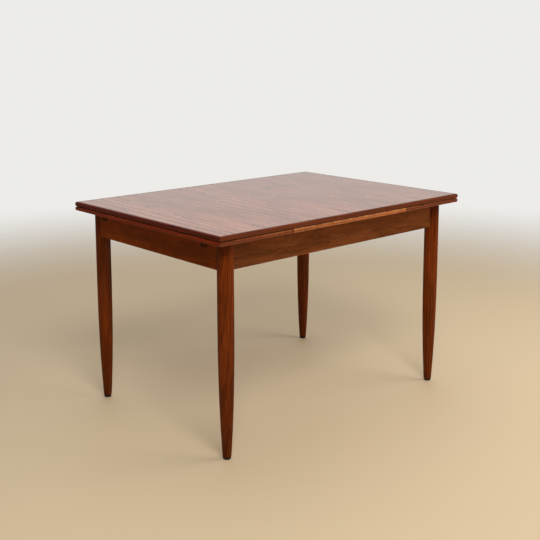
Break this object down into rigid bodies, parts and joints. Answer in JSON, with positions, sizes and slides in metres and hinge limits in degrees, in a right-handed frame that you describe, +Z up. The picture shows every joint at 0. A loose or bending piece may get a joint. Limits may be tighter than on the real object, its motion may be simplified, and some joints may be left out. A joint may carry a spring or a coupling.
{
  "type": "draw-leaf dining table",
  "caption": "Rectangular extending dining table with pull-out end leaves stored under a loose top, on round tapered wooden legs.",
  "frame": {"origin": "on the floor, under the middle of the table", "axes": "+X along the length, the way the right leaf is drawn; +Y across the width, from front to back; +Z up"},
  "size_m": [1.18, 0.84, 0.75],
  "materials": {
    "veneer": "satin lacquered rosewood-coloured veneer",
    "lipping_wood": "satin lacquered hardwood",
    "board_edge_wood": "satin hardwood, lighter",
    "leg_wood": "satin lacquered turned hardwood",
    "apron_wood": "satin lacquered",
    "bearer_wood": "planed, waxed",
    "inner_wood": "planed, unfinished",
    "peg_wood": "unfinished dowel",
    "glide": "black, matt"
  },
  "bodies": {
    "frame": {"leg_left_front": "leg_wood", "leg_left_back": "leg_wood", "leg_right_front": "leg_wood", "leg_right_back": "leg_wood", "glide_left_front": "glide", "glide_left_back": "glide", "glide_right_front": "glide", "glide_right_back": "glide", "corner_block_left_front": "inner_wood", "corner_block_left_back": "inner_wood", "corner_block_right_front": "inner_wood", "corner_block_right_back": "inner_wood", "apron_front": "apron_wood", "apron_back": "apron_wood", "apron_left": "apron_wood", "apron_right": "apron_wood", "cross_rail_left": "inner_wood", "cross_rail_right": "inner_wood", "centre_board_core": "inner_wood", "centre_board_edge_front": "board_edge_wood", "centre_board_edge_back": "board_edge_wood"},
    "main_top": {"main_top_core": "veneer", "main_top_lipping_left": "lipping_wood", "main_top_lipping_right": "lipping_wood", "main_top_lipping_front": "lipping_wood", "main_top_lipping_back": "lipping_wood", "top_guide_left": "inner_wood", "top_guide_right": "inner_wood", "top_keeper_left": "inner_wood", "top_keeper_right": "inner_wood"},
    "left_leaf": {"left_leaf_core": "veneer", "left_leaf_lipping_left": "lipping_wood", "left_leaf_lipping_right": "lipping_wood", "left_leaf_lipping_front": "lipping_wood", "left_leaf_lipping_back": "lipping_wood", "left_bearer_front": "bearer_wood", "left_bearer_back": "bearer_wood", "left_stop_peg_front": "peg_wood", "left_stop_peg_back": "peg_wood"},
    "right_leaf": {"right_leaf_core": "veneer", "right_leaf_lipping_left": "lipping_wood", "right_leaf_lipping_right": "lipping_wood", "right_leaf_lipping_front": "lipping_wood", "right_leaf_lipping_back": "lipping_wood", "right_bearer_front": "bearer_wood", "right_bearer_back": "bearer_wood", "right_stop_peg_front": "peg_wood", "right_stop_peg_back": "peg_wood"}
  },
  "joints": [
    {"name": "left_leaf_draw", "type": "slide", "parent": "frame", "child": "left_leaf", "axis": [-0.9984, 0, 0.057], "range_m": [0, 0.307]},
    {"name": "right_leaf_draw", "type": "slide", "parent": "frame", "child": "right_leaf", "axis": [0.9984, 0, 0.057], "range_m": [0, 0.3075]},
    {"name": "main_top_lift", "type": "slide", "parent": "frame", "child": "main_top", "axis": [0, 0, 1], "range_m": [0, 0.0178]}
  ],
  "couplings": [
    {"joint": "right_leaf_draw", "follows": "left_leaf_draw", "ratio": 1},
    {"joint": "main_top_lift", "follows": "left_leaf_draw", "ratio": 0.057003}
  ]
}
